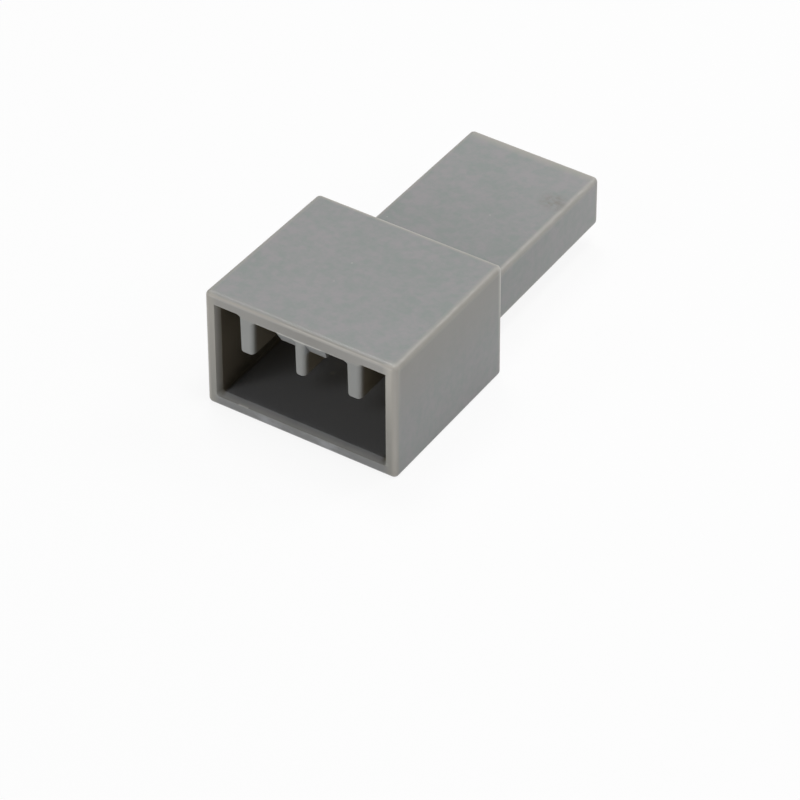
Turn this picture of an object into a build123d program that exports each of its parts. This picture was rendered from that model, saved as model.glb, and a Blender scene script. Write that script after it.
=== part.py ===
from build123d import *
import os
from math import radians, tan

os.makedirs("parts", exist_ok=True)

# A five-pin connector without a wire. Its mouth faces -Y, its flat handle runs back along +Y, and it
# rests on the underside of its shroud. Millimetres. X and Y are zero at the middle, Z at the underside.

# Shroud, measured at the mouth's rim. Its width follows from the row of contacts.
shroud_height = 12.45
shroud_length = 17.56
shroud_draft = 0.8

# Handle, measured where it leaves the shroud
handle_width = 14.1
handle_height = 5.62
handle_lift = 2.06
handle_length = 21.06
handle_draft = 0.46
handle_wall = 1.2

# Outer edges of the moulding
edge_radius = 0.5

# Cored mouth, with its walls measured behind the lead-in
side_wall = 1.35
floor_wall = 1.45
roof_wall = 1.37
outer_bay_rise = 0.28
back_wall = 1.2
core_draft = 0.5
core_radius = 0.25
lead_in_depth = 0.6
lead_in_inset = 0.3

# Ribs that hang from the roof of the mouth. Each has a cover plate on top that lies within the roof.
rib_spacing = 5.6
rib_height = 3.83
outer_rib_root = 1.6
outer_rib_edge = 1.45
middle_rib_root = 1.25
middle_rib_edge = 1.1
rib_front_radius = 0.45
rib_corner_radius = 0.3
rib_root_radius = 0.4
rib_cover = 0.3

# Catch at the middle of the roof, just inside the rim. The ramp's sides are cut back at a slant.
catch_drop = 1.27
catch_ramp = 0.74
catch_length = 2.4
catch_root_width = 5.2
catch_tip_width = 4.7
catch_root_cut = 0.4
catch_tip_cut = 0.05
catch_cut_slope = 0.27

# Carrier that closes the back of the mouth
carrier_thickness = 2.0
carrier_clearance = 0.06
carrier_ledge = 0.5
rear_space = 1.75

# Contacts
contact_count = 5
contact_pitch = 3.3
blade_width = 1.5
blade_thickness = 0.64
blade_reach = 5.2
tip_length = 1.0
tip_width = 0.8
tip_thickness = 0.3
shoulder_width = 2.1
shoulder_length = 0.5
shoulder_clearance = 0.37
tail_width = 0.9
tail_proud = 0.25
contact_clearance = 0.03

# Bar that joins the tails of the contacts
strip_height = 2.4
strip_thickness = 0.5
strip_clearance = 0.1
strip_corner = 0.4


def inset(length, draft):
    """How far a drafted wall leans in over a length."""
    return length * tan(radians(draft))


# Lengths. A depth is a distance behind the mouth's rim.
overall_length = shroud_length + handle_length
mouth_y = -overall_length / 2
core_back = shroud_length - back_wall
carrier_seat = core_back - rear_space
carrier_front = carrier_seat - carrier_thickness

# Heights
roof = shroud_height - roof_wall
outer_roof = roof + outer_bay_rise
handle_top = handle_lift + handle_height
handle_middle = handle_lift + handle_height / 2

# Widths, from the row of contacts outwards
row_middle = (contact_count - 1) / 2
rear_space_width = (contact_count - 1) * contact_pitch + shoulder_width + 2 * shoulder_clearance
seat_width = rear_space_width + 2 * carrier_ledge
core_width = seat_width + 2 * inset(carrier_seat, core_draft)
shroud_width = core_width + 2 * side_wall
strip_width = rear_space_width - 2 * strip_clearance


def station(depth):
    """An upright plane across the connector, facing the mouth."""
    return Plane.XZ.offset(-(mouth_y + depth))


def upright(depth, width, bottom, top, corner=0.0):
    """An upright rectangle at a depth, centred across the connector."""
    with BuildSketch(station(depth)) as outline:
        with Locations((0, (bottom + top) / 2)):
            Rectangle(width, top - bottom)
        if corner:
            fillet(outline.vertices(), corner)
    return outline.sketch


def core(depth, shrink=0.0, flare=0.0):
    """The opening at a depth: smaller all round by shrink, then wider at its sides and floor by flare."""
    draft_lean = inset(depth, core_draft)
    lean = draft_lean + shrink
    side = core_width / 2 - lean + flare
    bottom = floor_wall + lean - flare
    top = roof - lean
    outer_top = outer_roof - lean
    with BuildSketch(station(depth)) as outline:
        with BuildLine():
            Polyline(
                (-side, bottom),
                (-side, outer_top),
                (-rib_spacing, outer_top),
                (-rib_spacing, top),
                (rib_spacing, top),
                (rib_spacing, outer_top),
                (side, outer_top),
                (side, bottom),
                close=True,
            )
        make_face()
        fillet(outline.vertices().group_by(Axis.Y)[0], core_radius - draft_lean)
    return outline.sketch


def handle_section(depth, shrink=0.0, corner=0.0):
    """The handle's section before its draft, made smaller all round by shrink."""
    return upright(depth, handle_width - 2 * shrink, handle_lift + shrink, handle_top - shrink, corner)


def behind_shroud(feature):
    """Whether an edge or a face belongs to the handle alone, clear of the shroud's back face."""
    return feature.center().Y > mouth_y + shroud_length + edge_radius


def rib_section(root, edge, ceiling):
    """A plain rib seen from the mouth: a little thinner at its lower edge than at the ceiling."""
    with BuildSketch() as section:
        with BuildLine():
            Polyline(
                (-root / 2, ceiling),
                (-edge / 2, roof - rib_height),
                (edge / 2, roof - rib_height),
                (root / 2, ceiling),
                close=True,
            )
        make_face()
    return section.sketch


def cover_width(root):
    """The width of a rib's cover plate, which holds the blends on both sides of its root."""
    return root + 3 * rib_root_radius


def rib_notch(root, edge):
    """The slot that a plate needs to slide along a rib and the blends at its root."""
    with BuildSketch() as notch:
        add(rib_section(root, edge, roof))
        with Locations((0, roof + rib_cover / 2)):
            Rectangle(cover_width(root), rib_cover)
        corners = notch.vertices().group_by(Axis.Y)[1].sort_by(Axis.X)
        fillet(corners[1:-1], rib_root_radius)
        offset(amount=carrier_clearance)
    return notch.sketch


def on_root(line, root_edges):
    """Whether an edge lies along one of the edges at the root of a rib, its back end left out."""
    middle = line.center()
    along = [root_edge for root_edge in root_edges if (root_edge.center() - middle).length < 0.001]
    return bool(along) and middle.Y < mouth_y + core_back


def rib(root, edge, ceiling):
    """A rib under a level ceiling: flush with the rim, rounded at its front and blended in at its root."""
    width = cover_width(root)
    length = core_back + back_wall / 2
    with BuildPart() as blank:
        with BuildSketch(station(0)):
            add(rib_section(root, edge, ceiling))
        extrude(amount=-length)
        front_edges = blank.faces().sort_by(Axis.Y)[0].edges()
        fillet(front_edges.filter_by(Axis.X, reverse=True), rib_front_radius)
        fillet(blank.faces().sort_by(Axis.Z)[0].edges(), rib_corner_radius)
        root_edges = blank.faces().sort_by(Axis.Z)[-1].edges()
        cover_front = -2 * rib_root_radius
        extrude(upright(cover_front, width, ceiling, ceiling + rib_cover), amount=cover_front - length)
        joined = blank.edges().filter_by(lambda line: on_root(line, root_edges))
        fillet(joined, rib_root_radius)
        ahead_of_rim = upright(cover_front, 2 * width, roof - rib_height, shroud_height)
        extrude(ahead_of_rim, amount=cover_front, mode=Mode.SUBTRACT)
    return blank.part


def catch_section(height, width, front, cut):
    """A level section of the catch, with its two front corners cut back."""
    side = width / 2
    near = mouth_y + front
    with BuildSketch(Plane.XY.offset(height)) as section:
        with BuildLine():
            Polyline(
                (-side, near + cut * catch_cut_slope),
                (-side + cut, near),
                (side - cut, near),
                (side, near + cut * catch_cut_slope),
                (side, mouth_y + catch_length),
                (-side, mouth_y + catch_length),
                close=True,
            )
        make_face()
    return section.sketch


def contact(number):
    """A stamped contact: tapered blade, shoulder behind the carrier, and a tail through the strip."""
    across = (number - 1 - row_middle) * contact_pitch
    tip = mouth_y + carrier_front - blade_reach
    shoulder = mouth_y + carrier_seat
    tail = shoulder + shoulder_length
    end = tail + strip_thickness + tail_proud
    with BuildPart() as blade:
        with BuildSketch(Plane.XY.offset(handle_middle - blade_thickness / 2)):
            with BuildLine():
                Polyline(
                    (across, tip),
                    (across + tip_width / 2, tip),
                    (across + blade_width / 2, tip + tip_length),
                    (across + blade_width / 2, shoulder),
                    (across + shoulder_width / 2, shoulder),
                    (across + shoulder_width / 2, tail),
                    (across + tail_width / 2, tail),
                    (across + tail_width / 2, end),
                    (across, end),
                )
                mirror(about=Plane.YZ.offset(across))
            make_face()
        extrude(amount=blade_thickness)
        tip_edges = blade.edges().filter_by(Axis.X).group_by(Axis.Y)[0]
        tip_face = blade.faces().sort_by(Axis.Y)[0]
        chamfer(tip_edges, (blade_thickness - tip_thickness) / 2, tip_length, reference=tip_face)
    return blade.part


# Housing: shroud and handle as one moulding
with BuildPart() as housing:
    extrude(upright(0, shroud_width, 0, shroud_height), amount=-shroud_length)
    leaning = housing.faces().filter_by(Axis.X) + housing.faces().sort_by(Axis.Z)[-1:]
    draft(leaning, station(0), -shroud_draft)
    fillet(housing.edges(), edge_radius)
    extrude(handle_section(shroud_length), amount=-handle_length)
    handle_faces = housing.faces().filter_by(behind_shroud).filter_by(Axis.Y, reverse=True)
    draft(handle_faces, station(shroud_length), -handle_draft)
    fillet(housing.edges().filter_by(behind_shroud), edge_radius)

    # The core that leaves the mouth, the space behind the carrier's ledge, and the hollow in the handle
    extrude(core(0), amount=-carrier_seat, taper=core_draft, mode=Mode.SUBTRACT)
    extrude(core(carrier_seat, carrier_ledge), amount=-rear_space, mode=Mode.SUBTRACT)
    hollow = handle_section(core_back, handle_wall, core_radius)
    hollow_length = overall_length - handle_wall - core_back
    extrude(hollow, amount=-hollow_length, taper=handle_draft, mode=Mode.SUBTRACT)

    # The lead-in bevel runs along the sides and the floor of the mouth, and not along its roof. Its
    # cutter goes on past the bevel's end, into the mouth.
    rim_opening = core(0, flare=lead_in_inset)
    loft([rim_opening, core(2 * lead_in_depth, flare=-lead_in_inset)], mode=Mode.SUBTRACT)

    # Ribs. The roof is higher on the outer side of each outer rib, so its halves are made apart.
    inner_half = rib(outer_rib_root, outer_rib_edge, roof)
    outer_half = rib(outer_rib_root, outer_rib_edge, outer_roof)
    with Locations((-rib_spacing, 0, 0)):
        add(split(inner_half, bisect_by=Plane.YZ, keep=Keep.TOP, mode=Mode.PRIVATE))
        add(split(outer_half, bisect_by=Plane.YZ, keep=Keep.BOTTOM, mode=Mode.PRIVATE))
    with Locations((rib_spacing, 0, 0)):
        add(split(inner_half, bisect_by=Plane.YZ, keep=Keep.BOTTOM, mode=Mode.PRIVATE))
        add(split(outer_half, bisect_by=Plane.YZ, keep=Keep.TOP, mode=Mode.PRIVATE))
    add(rib(middle_rib_root, middle_rib_edge, roof))

    # Catch: a ramp that starts at the rim, and a flat underside behind it
    catch_root = catch_section(roof, catch_root_width, 0, catch_root_cut)
    catch_tip = catch_section(roof - catch_drop, catch_tip_width, catch_ramp, catch_tip_cut)
    loft([catch_root, catch_tip])
housing.part.label = "housing"
export_step(housing.part, "parts/housing.step")


# Carrier: a plate that slides in along the ribs and seats on the ledge
with BuildPart() as contact_carrier:
    extrude(core(carrier_seat, carrier_clearance), amount=carrier_thickness)
    with BuildSketch(station(carrier_seat)):
        with Locations((-rib_spacing, 0), (rib_spacing, 0)):
            add(rib_notch(outer_rib_root, outer_rib_edge))
        add(rib_notch(middle_rib_root, middle_rib_edge))
    extrude(amount=carrier_thickness, mode=Mode.SUBTRACT)
    with BuildSketch(station(carrier_seat)):
        with Locations((0, handle_middle)):
            with GridLocations(contact_pitch, 1, contact_count, 1):
                Rectangle(blade_width + 2 * contact_clearance, blade_thickness + 2 * contact_clearance)
    extrude(amount=carrier_thickness, mode=Mode.SUBTRACT)
contact_carrier.part.label = "contact_carrier"
export_step(contact_carrier.part, "parts/contact_carrier.step")


# Contacts, numbered from the left as seen from the mouth
for number in range(1, contact_count + 1):
    piece = contact(number)
    piece.label = f"contact_{number}"
    export_step(piece, f"parts/contact_{number}.step")


# Strip that joins the tails, pressed against the shoulders of the contacts
with BuildPart() as shorting_strip:
    with BuildSketch(station(carrier_seat + shoulder_length)):
        with Locations((0, handle_middle)):
            RectangleRounded(strip_width, strip_height, strip_corner)
            with GridLocations(contact_pitch, 1, contact_count, 1):
                Rectangle(
                    tail_width + 2 * contact_clearance,
                    blade_thickness + 2 * contact_clearance,
                    mode=Mode.SUBTRACT,
                )
    extrude(amount=-strip_thickness)
shorting_strip.part.label = "shorting_strip"
export_step(shorting_strip.part, "parts/shorting_strip.step")
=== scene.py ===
from math import cos, radians, sin, tan

import bpy
from mathutils import Matrix, Vector


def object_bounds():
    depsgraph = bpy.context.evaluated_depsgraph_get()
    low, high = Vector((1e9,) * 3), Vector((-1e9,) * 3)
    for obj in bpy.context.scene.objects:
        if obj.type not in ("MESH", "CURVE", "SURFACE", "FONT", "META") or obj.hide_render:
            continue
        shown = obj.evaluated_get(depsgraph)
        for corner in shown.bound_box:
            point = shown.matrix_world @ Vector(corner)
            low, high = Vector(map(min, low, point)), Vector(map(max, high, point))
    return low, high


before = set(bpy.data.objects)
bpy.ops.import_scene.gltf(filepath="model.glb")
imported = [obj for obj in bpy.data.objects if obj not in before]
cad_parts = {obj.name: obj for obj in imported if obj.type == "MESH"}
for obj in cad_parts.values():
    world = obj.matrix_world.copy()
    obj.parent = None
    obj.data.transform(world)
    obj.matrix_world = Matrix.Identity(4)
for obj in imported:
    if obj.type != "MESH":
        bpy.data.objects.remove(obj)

cad_low, cad_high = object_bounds()

# The mouth's rim is the low end in Y, and every depth in this script is a distance behind it.
MOUTH_Y = cad_low.y

# How many millimetres a metre has
MILLIMETRES = 1000

# Camera: where it stands round the object, how it is tilted, and what it aims at. Lengths are in
# metres, and the sensor and the lens in millimetres.
CAMERA_AZIMUTH = 33.345
CAMERA_ELEVATION = 39.247
CAMERA_ROLL = 0.2025
AIM = Vector((0, MOUTH_Y + 0.010, 0.005))
AIM_LEFT_OF_MIDDLE = 0.003241
AIM_ABOVE_MIDDLE = 0.005608
CAMERA_DISTANCE = 0.45025
SENSOR = 36.0
LENS = 229.1
CLIP_START, CLIP_END = 0.01, 10

# Studio: each lamp's azimuth, elevation, width and height in metres, and power in watts. Azimuth 0
# is in front of the mouth and 90 is to its right.
LAMP_DISTANCE = 0.5
LAMPS = {
    "above right": (90, 80, 0.12, 0.12, 0.95),
    "above left": (-135, 68, 0.20, 0.20, 0.86),
    "low front": (-20, 3, 0.20, 0.045, 0.66),
    "behind right": (150, 45, 0.16, 0.16, 0.47),
    "right": (90, 40, 0.15, 0.15, 0.28),
    "front left": (-34, 40, 0.10, 0.10, 0.15),
    "low right": (136, 25, 0.16, 0.16, 0.10),
}
WORLD_STRENGTH = 0.08

# The floor's reach to each side in metres, its colour, and the share of it that shows as plain white
FLOOR_REACH = 3.0
FLOOR_PALE = (0.8, 0.8, 0.8, 1)
FLOOR_SHOWN_WHITE = 0.9

# The moulding as its finish follows it, in millimetres. The walls lean in by their draft.
SHROUD_SIDE = 9.99
SHROUD_TOP = 12.45
SHROUD_LENGTH = 17.56
SHROUD_LEAN = tan(radians(0.8))
HANDLE_SIDE = 7.05
HANDLE_TOP = 7.68
HANDLE_UNDERSIDE = 2.06
HANDLE_END = 38.62
HANDLE_LEAN = tan(radians(0.46))
ROOF = 11.08
OUTER_BAY = 5.6
OUTER_RISE = 0.28
FLOOR = 1.5
LIP_TOP = 1.22
BEVEL_FROM, BEVEL_TO = 1.15, 1.6

# The finish of the inside ends at these limits. The first three lie a little past the mouth's walls,
# and the depth is where the mouth ends.
MOUTH_SIDE = 9.2
MOUTH_FLOOR = 0.6
MOUTH_CEILING = 11.9
MOUTH_DEPTH = 16.36

# Half-widths: just past the catch, just clear of the side walls, and where the rim's uprights start
CATCH_SIDE = 2.9
CLEAR_SIDE = 8.5
UPRIGHT_SIDE = 9.3

# Heights: just under the catch, and one in the open mouth, between the lip and the ribs
CATCH_LOW = 9.7
OPEN_MOUTH = 2

# How far back from the rim the plastic looks warmer
WARM_REACH = 1.1

# Contacts, and how much the streaks of drawn metal are stretched
CONTACTS = 5
DRAWN = 0.06

# Height of the grain, in metres
PLASTIC_GRAIN = 0.000004
BRASS_GRAIN = 0.000003

# Plastic colours of the outside, of the rim and of the inside
GREY_COOL = (0.254, 0.277, 0.265, 1)
GREY_PALE = (0.299, 0.290, 0.295, 1)
GREY_TAN = (0.290, 0.281, 0.258, 1)
# Painted highlight of the outer edges
GREY_EDGE_HIGHLIGHT = (0.405, 0.384, 0.346, 1)
RIM_LOW = (0.289, 0.281, 0.255, 1)
RIM_HIGH = (0.382, 0.364, 0.328, 1)
RIM_ROOF = (0.318, 0.310, 0.292, 1)
RIM_ROOF_MIDDLE = (0.280, 0.272, 0.254, 1)
RIM_LIP = (0.228, 0.230, 0.229, 1)
RIB_FRONT = (0.295, 0.300, 0.291, 1)
CATCH_RAMP = (0.205, 0.216, 0.226, 1)
# Painted shade of the mouth's inner walls: dark brown near the front, paler deeper in
WALL_SHADE_BROWN = (0.138, 0.118, 0.085, 1)
WALL_DEEP = (0.300, 0.285, 0.230, 1)
FLOOR_GREY = (0.315, 0.322, 0.338, 1)

# Colours of the carrier and of the brass
CARRIER_DARK = (0.176, 0.178, 0.168, 1)
CARRIER_PALE = (0.196, 0.192, 0.180, 1)
CONTACT_BRIGHT = (0.60, 0.40, 0.125, 1)
CONTACT_DULL = (0.45, 0.30, 0.10, 1)
STRIP_BRIGHT = (0.54, 0.35, 0.11, 1)
STRIP_DULL = (0.40, 0.26, 0.09, 1)

# Colours of the marks, of the painted highlight lines and of the painted shade
# Pale of the specks, and of the painted highlight on the bevel
SPECK_AND_HIGHLIGHT_PALE = (0.42, 0.42, 0.41, 1)
WORN_BLUE = (0.34, 0.345, 0.36, 1)
# Pale of the scratch, and of the painted highlight lines on the edges
SCRATCH_AND_HIGHLIGHT_PALE = (0.54, 0.53, 0.50, 1)
# Painted shade between the two highlight lines of the front edge
GROOVE_SHADE_GREY = (0.240, 0.230, 0.210, 1)
SMUDGE_BROWN = (0.225, 0.215, 0.195, 1)
SHADED_DARK = (0.10, 0.10, 0.10, 1)

# Pale specks: x, depth and height in millimetres, radius, and how strongly each shows
SPECKS = (
    (-1.45, 10.48, 12.30, 0.12, 1.0),
    (-1.31, 7.44, 12.35, 0.10, 0.7),
    (4.24, 14.60, 12.25, 0.10, 0.5),
    (1.67, 28.21, 7.59, 0.12, 1.0),
    (-5.96, 22.90, 7.64, 0.11, 0.8),
    (-1.83, 7.84, 1.52, 0.35, 1.0),
)

# The smudge on the handle: x, depth and height in millimetres, and its radius
SMUDGE = (5.4, 33, 7.55, 1.6)

# Worn patches of the lip: x, reach to each side, and how strongly each shows
WORN_PATCHES = ((-3.7, 1.9, 0.8), (2.6, 2, 0.96))

# The scratch on the lip, and the stretch of the front edge that carries two painted highlight lines
SCRATCH_HEIGHT = 1.16
SCRATCH_FROM, SCRATCH_TO = -6.7, -5.5
FRONT_HIGHLIGHT_FROM, FRONT_HIGHLIGHT_TO = -2.2, 8.7


class Output:
    """A node's output. One that carries a number takes part in plain arithmetic."""

    def __init__(self, finish, socket):
        self.finish = finish
        self.socket = socket

    def __add__(self, other):
        return self.finish.math("ADD", self, other)

    def __sub__(self, other):
        return self.finish.math("SUBTRACT", self, other)

    def __rsub__(self, other):
        return self.finish.math("SUBTRACT", other, self)

    def __mul__(self, other):
        return self.finish.math("MULTIPLY", self, other)

    __radd__ = __add__
    __rmul__ = __mul__


class Finish:
    """A material and its node tree."""

    def __init__(self, name):
        self.material = bpy.data.materials.new(name)
        self.material.use_nodes = True
        self.tree = self.material.node_tree
        self.tree.nodes.clear()

    def node(self, kind, settings=None, inputs=None, output=0):
        """Adds a node: its settings first, and then the values or links of its inputs."""
        node = self.tree.nodes.new(kind)
        for name, value in (settings or {}).items():
            setattr(node, name, value)
        for name, value in (inputs or {}).items():
            if isinstance(value, Output):
                self.tree.links.new(value.socket, node.inputs[name])
            else:
                node.inputs[name].default_value = value
        return Output(self, node.outputs[output]) if node.outputs else None

    def math(self, operation, first, second=0.0, clamp=False):
        settings = {"operation": operation, "use_clamp": clamp}
        return self.node("ShaderNodeMath", settings, {0: first, 1: second})

    def vector_math(self, operation, first, second=(0, 0, 0), output=0):
        return self.node("ShaderNodeVectorMath", {"operation": operation}, {0: first, 1: second}, output)

    def mix(self, factor, first, second):
        """The first colour where the factor is 0 and the second where it is 1."""
        settings = {"data_type": "RGBA", "clamp_factor": True}
        return self.node("ShaderNodeMix", settings, {0: factor, 6: first, 7: second}, 2)

    def toned(self, colour, strength):
        """A colour made stronger or weaker by a number near 1."""
        return self.node("ShaderNodeVectorMath", {"operation": "SCALE"}, {0: colour, "Scale": strength})

    def millimetres(self):
        """The place on the object in the CAD frame, in millimetres."""
        place = self.node("ShaderNodeTexCoord", output="Object")
        return self.vector_math("MULTIPLY", place, (MILLIMETRES, MILLIMETRES, MILLIMETRES))

    def axis(self, place, name):
        return self.node("ShaderNodeSeparateXYZ", {}, {0: place}, name)

    def noise(self, place, grain, detail=2.0):
        """Even noise between about 0.3 and 0.7, whose spots are grain millimetres apart."""
        inputs = {"Vector": place, "Scale": 1 / grain, "Detail": detail, "Roughness": 0.55}
        return self.node("ShaderNodeTexNoise", {}, inputs)

    def near(self, distance, reach):
        """1 at a plane, fading to 0 at the reach on both sides of it."""
        return self.math("SUBTRACT", 1, self.math("ABSOLUTE", distance) * (1 / reach), clamp=True)

    def rising(self, value, slope):
        """0 where the value is below 0, and rising from there to 1."""
        return self.math("MULTIPLY", value, slope, clamp=True)

    def between(self, value, low, high, blur):
        """1 where the value lies between two limits, with soft ends."""
        return self.rising(value - low, 1 / blur) * self.rising(high - value, 1 / blur)

    def surface(self, colour, roughness, bump, metallic=0.0):
        """Closes the material with the shader that plastic and metal share."""
        inputs = {"Base Color": colour, "Metallic": metallic, "Roughness": roughness, "Normal": bump}
        shader = self.node("ShaderNodeBsdfPrincipled", {}, inputs)
        self.node("ShaderNodeOutputMaterial", {}, {"Surface": shader})
        return self.material

    def bump(self, height, rise):
        """A normal bent by a height between 0 and 1 that stands for a rise in metres."""
        return self.node("ShaderNodeBump", {}, {"Strength": 1.0, "Distance": rise, "Height": height})


class Moulding:
    """Where a point of the housing lies: the distances to its outer planes, in millimetres."""

    def __init__(self, finish):
        place = finish.millimetres()
        self.place = place
        self.x, self.z = finish.axis(place, "X"), finish.axis(place, "Z")
        self.depth = finish.axis(place, "Y") - MOUTH_Y * MILLIMETRES
        self.across = finish.math("ABSOLUTE", self.x)
        lean = self.depth * SHROUD_LEAN
        self.side = SHROUD_SIDE - lean - self.across
        self.top = SHROUD_TOP - lean - self.z
        self.behind = self.depth - SHROUD_LENGTH

        # Round the front edge of the top: 0.5 where the top ends, and -0.5 where the rim starts
        self.front_bend = self.depth - self.top
        handle_lean = self.behind * HANDLE_LEAN
        self.handle_side = HANDLE_SIDE - handle_lean - self.across
        self.handle_top = HANDLE_TOP - handle_lean - self.z
        self.handle_underside = self.z - HANDLE_UNDERSIDE - handle_lean
        self.handle_end = HANDLE_END - self.depth


def edge_highlight(finish, at):
    """How pale the outer edges are painted: a painted highlight along them. The shroud's upright edges are
    the strongest.
    """
    on_handle = finish.rising(at.behind - 0.6, 3)
    front = finish.near(at.front_bend + 0.12, 0.32) * finish.near(at.depth, 1)
    total = front * finish.near(at.top, 1) * 1.3

    # Each edge lies where two distances are 0. Then come the reach of its paleness and its strength.
    # A side distance that is scaled up narrows the band on the top face.
    for first, second, reach, strength in (
        (at.side * 1.2, at.top, 0.8, 0.95),
        (at.side, at.depth, 0.55, 1.9),
        (at.side, at.behind, 0.6, 2.0),
        (at.top, at.behind, 0.65, 1.7),
        (at.handle_side * 1.3, at.handle_top, 0.75, on_handle * 1.1),
        (at.handle_side, at.handle_underside, 0.8, on_handle * 0.5),
        (at.handle_side, at.handle_end, 0.7, 1.5),
        (at.handle_top, at.handle_end, 1.3, 1.1),
        (at.handle_underside, at.handle_end, 0.8, 1.0),
    ):
        both = finish.near(first, reach) * finish.near(second, reach)
        total = finish.math("MAXIMUM", both * strength, total)
    return total


def outside_colour(finish, at, mottle, cloud):
    """The grey of the outer faces: mottled, streaked on the sides, and with painted shade and light along
    them.
    """
    streak = finish.noise(finish.vector_math("MULTIPLY", at.place, (1, 1, 0.08)), 0.9)
    colour = finish.mix(mottle * 2.4 + cloud * 1.2 + streak - 1.8, GREY_COOL, GREY_PALE)
    on_side = finish.near(at.side, 0.4)
    colour = finish.mix(on_side * finish.near(at.top, 7), colour, GREY_TAN)
    on_handle = finish.between(at.depth, SHROUD_LENGTH, HANDLE_END + 1, 0.05)
    # Painted shade: the sides darker towards the front and near the bottom, and the handle darker by the
    # shroud's step; painted light makes the handle paler towards its end
    side_shade = at.depth * 0.0035 - 0.12 - finish.near(at.z, 4) * 0.03
    handle_shade_and_light = at.behind * 0.0085 - 0.094
    return finish.toned(colour, 1 + on_side * side_shade + on_handle * handle_shade_and_light)


def rim_colour(finish, at):
    """The rim of the mouth with the fronts of the ribs: warm at its sides and cooler on the ribs."""
    within = finish.rising(UPRIGHT_SIDE - at.across, 1.4)
    colour = finish.mix((at.z - 1.5) * 0.105, RIM_LOW, RIM_HIGH)

    # Painted light and shade: the right upright is paler above its middle and a little darker below it
    right = finish.between(at.x, 8, 12, 0.5)
    colour = finish.toned(colour, 0.99 + right * finish.math("MAXIMUM", (at.z - 6) * 0.05, -0.04))
    roof = finish.mix(finish.near(at.x - 1, 6), RIM_ROOF, RIM_ROOF_MIDDLE)
    # Painted light: the bar over the mouth grows paler towards the right
    roof = finish.toned(roof, 1 + finish.rising(at.x, 0.01))
    colour = finish.mix(finish.rising(at.z - ROOF + 0.1, 4) * within, colour, roof)
    rib = finish.between(at.z, OPEN_MOUTH, ROOF + 0.2, 0.3) * finish.rising(CLEAR_SIDE - at.across, 4)
    colour = finish.mix(rib, colour, RIB_FRONT)
    colour = finish.toned(colour, 1 - rib * finish.between(at.x, -2, 9, 1) * 0.06)
    ramp = finish.between(at.x, -CATCH_SIDE, CATCH_SIDE, 0.2) * finish.between(at.depth, 0.1, 2, 0.15)
    colour = finish.mix(ramp * finish.between(at.z, CATCH_LOW, ROOF - 0.05, 0.1), colour, CATCH_RAMP)

    # The lip is worn in patches that run along it, and the front of the bevel above it carries a painted
    # highlight
    patch = finish.noise(finish.vector_math("MULTIPLY", at.place, (0.35, 1, 1)), 0.45, 3)
    wear_and_highlight = (patch - 0.53) * 3
    for x, reach, strength in WORN_PATCHES:
        wear_and_highlight = wear_and_highlight + finish.near(at.x - x, reach) * strength
    lip = finish.mix(wear_and_highlight, RIM_LIP, WORN_BLUE)
    colour = finish.mix(finish.rising(LIP_TOP - at.z, 8) * within, colour, lip)
    bevel = finish.between(at.z, BEVEL_FROM, BEVEL_TO, 0.1) * finish.near(at.depth - 0.05, 0.5)
    return finish.mix(bevel * within * 0.7, colour, SPECK_AND_HIGHLIGHT_PALE)


def inside_mask(finish, at):
    """0 outside the mouth and at its rim, rising to 1 about 0.7 mm in. The catch is left out."""
    catch = finish.rising(CATCH_SIDE - at.across, 4) * finish.rising(at.z - CATCH_LOW, 8)
    catch = catch * finish.near(at.depth, 3)
    return (
        finish.rising(MOUTH_SIDE - at.across, 8)
        * finish.between(at.z, MOUTH_FLOOR, MOUTH_CEILING, 0.2)
        * finish.rising(at.depth - 0.03, 1.5)
        * finish.math("LESS_THAN", at.depth, MOUTH_DEPTH)
        * (1 - catch)
    )


def near_point(finish, at, x, depth, z, radius):
    """1 at a point of the housing, fading to 0 at the radius round it."""
    middle = (x, MOUTH_Y * MILLIMETRES + depth, z)
    return finish.near(finish.vector_math("DISTANCE", at.place, middle, "Value"), radius)


def specked(finish, at, colour):
    """A few pale specks, and a brown smudge near the handle's end."""
    for x, depth, z, radius, strength in SPECKS:
        colour = finish.mix(near_point(finish, at, x, depth, z, radius) * strength, colour, SPECK_AND_HIGHLIGHT_PALE)
    blotch = finish.noise(at.place, 0.7)
    return finish.mix(near_point(finish, at, *SMUDGE) * (blotch - 0.35) * 4, colour, SMUDGE_BROWN)


def front_edge_highlights(finish, at, colour):
    """The front edge of the top: two painted highlight lines with painted shade between them."""
    wear_and_highlight = finish.noise(finish.vector_math("MULTIPLY", at.place, (0.2, 1, 1)), 0.5)
    along = finish.between(at.x, FRONT_HIGHLIGHT_FROM, FRONT_HIGHLIGHT_TO, 0.9)
    along = along * finish.near(at.top, 0.7) * finish.near(at.depth, 0.7)
    groove_shade = finish.near(at.front_bend - 0.05, 0.09) * along
    colour = finish.mix(groove_shade * 0.6, colour, GROOVE_SHADE_GREY)
    lines = finish.near(at.front_bend + 0.12, 0.11) + finish.near(at.front_bend - 0.22, 0.09) * 0.5
    return finish.mix(lines * along * (wear_and_highlight * 1.8 - 0.1), colour, SCRATCH_AND_HIGHLIGHT_PALE)


def edge_highlight_lines(finish, at, colour):
    """Painted highlights: the bright lines of the rear edges, of the handle's far edge and of the rim's
    outer edges.
    """
    corner = finish.near(at.side, 0.3) * finish.near(at.behind + 0.35, 0.45)
    far_edge = finish.near(at.handle_top - 0.1, 0.2) * finish.near(at.handle_end - 0.1, 0.4)
    rear_edge = finish.near(at.top - 0.1, 0.2) * finish.near(at.behind + 0.1, 0.4)
    rim_edge = finish.near(at.side - 0.12, 0.3) * finish.near(at.depth - 0.12, 0.3)
    highlight_lines = corner * finish.near(at.top, 12.2) + far_edge * 0.5 + rear_edge * 0.6 + rim_edge * 0.3
    return finish.mix(highlight_lines, colour, SCRATCH_AND_HIGHLIGHT_PALE)


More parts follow.
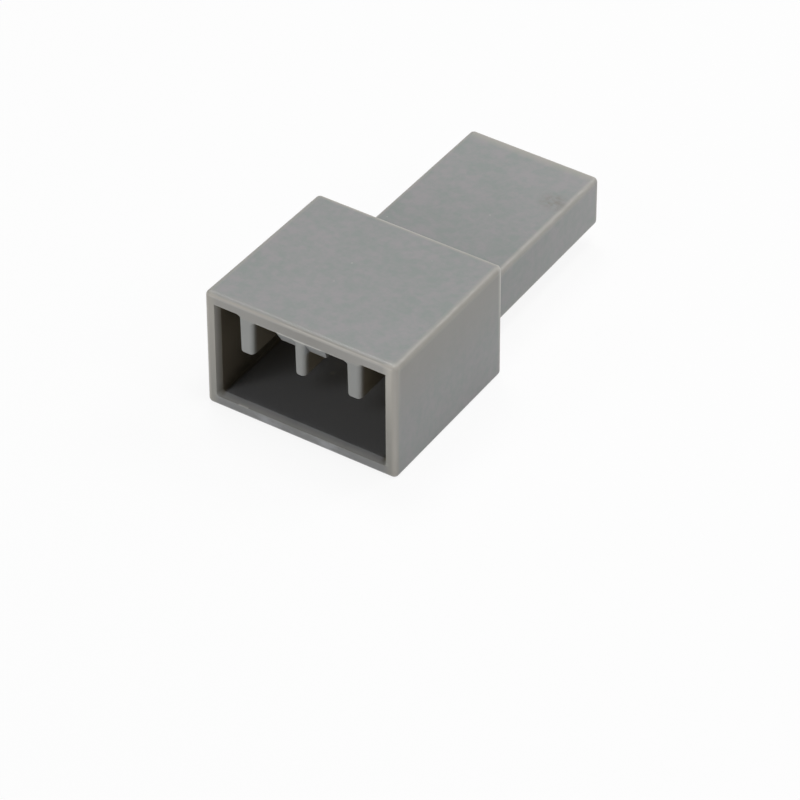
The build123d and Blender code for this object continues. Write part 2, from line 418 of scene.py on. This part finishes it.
def marked_mouth(finish, at, colour):
    """The painted highlight line under the roof, the scratch on the lip and the painted shade under it."""
    outer = finish.math("GREATER_THAN", at.across, OUTER_BAY)
    roof_edge = finish.near(at.z - ROOF - outer * OUTER_RISE, 0.13) * finish.near(at.depth, 0.2)

    # A painted highlight: faint over the open bays, bright where the catch starts, and left out over the
    # outer ribs
    bays = finish.between(at.across, 2.4, 4.5, 0.1) + finish.between(at.across, 6.7, 8.9, 0.1)
    bright = bays * 0.4 + finish.between(at.x, -2.5, 2.5, 0.3) * 1.3
    colour = finish.mix(roof_edge * bright, colour, SCRATCH_AND_HIGHLIGHT_PALE)

    scratch = finish.near(at.z - SCRATCH_HEIGHT, 0.07) * finish.between(at.x, SCRATCH_FROM, SCRATCH_TO, 0.15)
    colour = finish.mix(scratch * finish.near(at.depth, 0.4), colour, SCRATCH_AND_HIGHLIGHT_PALE)
    under_lip = finish.near(at.z, 0.25) * finish.near(at.depth, 0.6)
    return finish.mix(under_lip * 0.7, colour, SHADED_DARK)


def housing_plastic():
    """Satin grey moulding: painted highlights on its edges, warmer round the mouth, and painted brown shade
    inside it.
    """
    finish = Finish("housing_plastic")
    at = Moulding(finish)
    mottle = finish.noise(at.place, 0.8)
    cloud = finish.noise(at.place, 3.5)
    grain = finish.noise(at.place, 0.11)

    colour = outside_colour(finish, at, mottle, cloud)
    rim = finish.near(at.depth, WARM_REACH)
    colour = finish.mix(rim * rim, colour, rim_colour(finish, at))
    on_floor = finish.near(at.z - FLOOR, 0.7) * finish.rising(CLEAR_SIDE - at.across, 3)
    # Painted shade: the inner walls dark brown near the front, paler deeper in
    wall = finish.mix((at.depth - 4) * 0.12, WALL_SHADE_BROWN, WALL_DEEP)
    inside = finish.mix(on_floor, wall, FLOOR_GREY)
    colour = finish.mix(inside_mask(finish, at), colour, inside)
    # Painted highlight along the outer edges
    colour = finish.mix(edge_highlight(finish, at), colour, GREY_EDGE_HIGHLIGHT)
    for marked in (specked, front_edge_highlights, edge_highlight_lines, marked_mouth):
        colour = marked(finish, at, colour)

    roughness = 0.40 + (cloud - 0.5) * 0.12 + (grain - 0.5) * 0.08
    bump = finish.bump(grain * 0.5 + mottle * 0.5, PLASTIC_GRAIN)
    return finish.surface(colour, roughness, bump)


def carrier_plastic():
    """The same kind of plastic, a shade darker, with a slightly rougher skin."""
    finish = Finish("carrier_plastic")
    place = finish.millimetres()
    cloud = finish.noise(place, 1.6, 3)
    grain = finish.noise(place, 0.10)
    colour = finish.mix(cloud * 2 - 0.5, CARRIER_DARK, CARRIER_PALE)
    roughness = 0.5 + (grain - 0.5) * 0.15
    return finish.surface(colour, roughness, finish.bump(grain, PLASTIC_GRAIN))


def stamped_brass(name, bright, dull, stretch):
    """Dull sheet brass: drawn streaks along the strip that it was stamped from, and a soft tarnish."""
    finish = Finish(name)
    place = finish.millimetres()
    streak = finish.noise(finish.vector_math("MULTIPLY", place, stretch), 0.12, 3)
    tarnish = finish.noise(place, 1.1, 3)
    colour = finish.mix(streak * 0.9 + tarnish * 1.6 - 0.75, bright, dull)
    roughness = 0.30 + tarnish * 0.18 + (streak - 0.5) * 0.14
    return finish.surface(colour, roughness, finish.bump(streak, BRASS_GRAIN), metallic=1.0)


def dress(node, material):
    """Puts a material on every part of a piece."""
    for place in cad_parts[node].material_slots:
        place.material = material


def dress_pieces():
    dress("housing", housing_plastic())
    dress("contact_carrier", carrier_plastic())
    brass = stamped_brass("contact_metal", CONTACT_BRIGHT, CONTACT_DULL, (1, DRAWN, 1))
    for number in range(1, CONTACTS + 1):
        dress(f"contact_{number}", brass)
    strip = stamped_brass("strip_metal", STRIP_BRIGHT, STRIP_DULL, (DRAWN, 1, 1))
    dress("shorting_strip", strip)


def aimed_at(target, place):
    """The turn that points a lamp's -Z axis at the target."""
    return (target - place).to_track_quat("-Z", "Y").to_matrix().to_4x4()


def light_studio():
    """Soft lamps all round, and a faint even fill that shows white to the camera."""
    for name, (azimuth, elevation, width, height, power) in LAMPS.items():
        around, up = radians(azimuth), radians(elevation)
        back = Vector((sin(around) * cos(up), -cos(around) * cos(up), sin(up)))
        lamp = bpy.data.lights.new(name, "AREA")
        lamp.shape = "ELLIPSE"
        lamp.size = width
        lamp.size_y = height
        lamp.energy = power
        holder = bpy.data.objects.new(name, lamp)
        bpy.context.scene.collection.objects.link(holder)
        place = AIM + LAMP_DISTANCE * back
        holder.matrix_world = Matrix.Translation(place) @ aimed_at(AIM, place)
    world = bpy.data.worlds.new("studio")
    bpy.context.scene.world = world
    world.use_nodes = True
    tree = world.node_tree
    tree.nodes["Background"].inputs["Color"].default_value = (1, 1, 1, 1)

    # A strength of 1 for the camera, and the faint fill for everything else
    rays = tree.nodes.new("ShaderNodeLightPath")
    level = tree.nodes.new("ShaderNodeMath")
    level.operation = "MAXIMUM"
    level.inputs[1].default_value = WORLD_STRENGTH
    tree.links.new(rays.outputs["Is Camera Ray"], level.inputs[0])
    tree.links.new(level.outputs[0], tree.nodes["Background"].inputs["Strength"])


def lay_floor():
    """A pale floor that shows white to the camera and still takes the object's shadow."""
    mesh = bpy.data.meshes.new("floor")
    reach = FLOOR_REACH
    corners = [(-reach, -reach, 0), (reach, -reach, 0), (reach, reach, 0), (-reach, reach, 0)]
    mesh.from_pydata(corners, [], [(0, 1, 2, 3)])
    floor = bpy.data.objects.new("floor", mesh)
    bpy.context.scene.collection.objects.link(floor)
    finish = Finish("floor")
    rays = finish.node("ShaderNodeLightPath", output="Is Camera Ray")
    glossy = finish.node("ShaderNodeLightPath", output="Is Glossy Ray")
    transmission = finish.node("ShaderNodeLightPath", output="Is Transmission Ray")
    seen = finish.math("ADD", rays + glossy, transmission, clamp=True)
    pale = finish.node("ShaderNodeBsdfDiffuse", {}, {"Color": FLOOR_PALE})
    white = finish.node("ShaderNodeEmission", {}, {"Color": (1, 1, 1, 1), "Strength": 1.0})
    mixed = finish.node("ShaderNodeMixShader", {}, {0: seen * FLOOR_SHOWN_WHITE, 1: pale, 2: white})
    finish.node("ShaderNodeOutputMaterial", {}, {"Surface": mixed})
    mesh.materials.append(finish.material)


def place_camera():
    """The photo's viewpoint: from above, in front and to the right of the mouth, with a long lens."""
    azimuth, elevation, roll = (radians(a) for a in (CAMERA_AZIMUTH, CAMERA_ELEVATION, CAMERA_ROLL))
    back = Vector((sin(azimuth) * cos(elevation), -cos(azimuth) * cos(elevation), sin(elevation)))
    level_right = Vector((0, 0, 1)).cross(back).normalized()
    level_up = back.cross(level_right)
    right = cos(roll) * level_right - sin(roll) * level_up
    up = sin(roll) * level_right + cos(roll) * level_up
    data = bpy.data.cameras.new("camera")
    data.sensor_width = SENSOR
    data.lens = LENS
    data.clip_start = CLIP_START
    data.clip_end = CLIP_END
    camera = bpy.data.objects.new("camera", data)
    bpy.context.scene.collection.objects.link(camera)
    place = AIM + AIM_LEFT_OF_MIDDLE * right - AIM_ABOVE_MIDDLE * up + CAMERA_DISTANCE * back
    axes = Matrix((right, up, back)).transposed()
    camera.matrix_world = Matrix.Translation(place) @ axes.to_4x4()
    bpy.context.scene.camera = camera


dress_pieces()
lay_floor()
light_studio()
place_camera()
bpy.context.scene.view_settings.view_transform = "Standard"
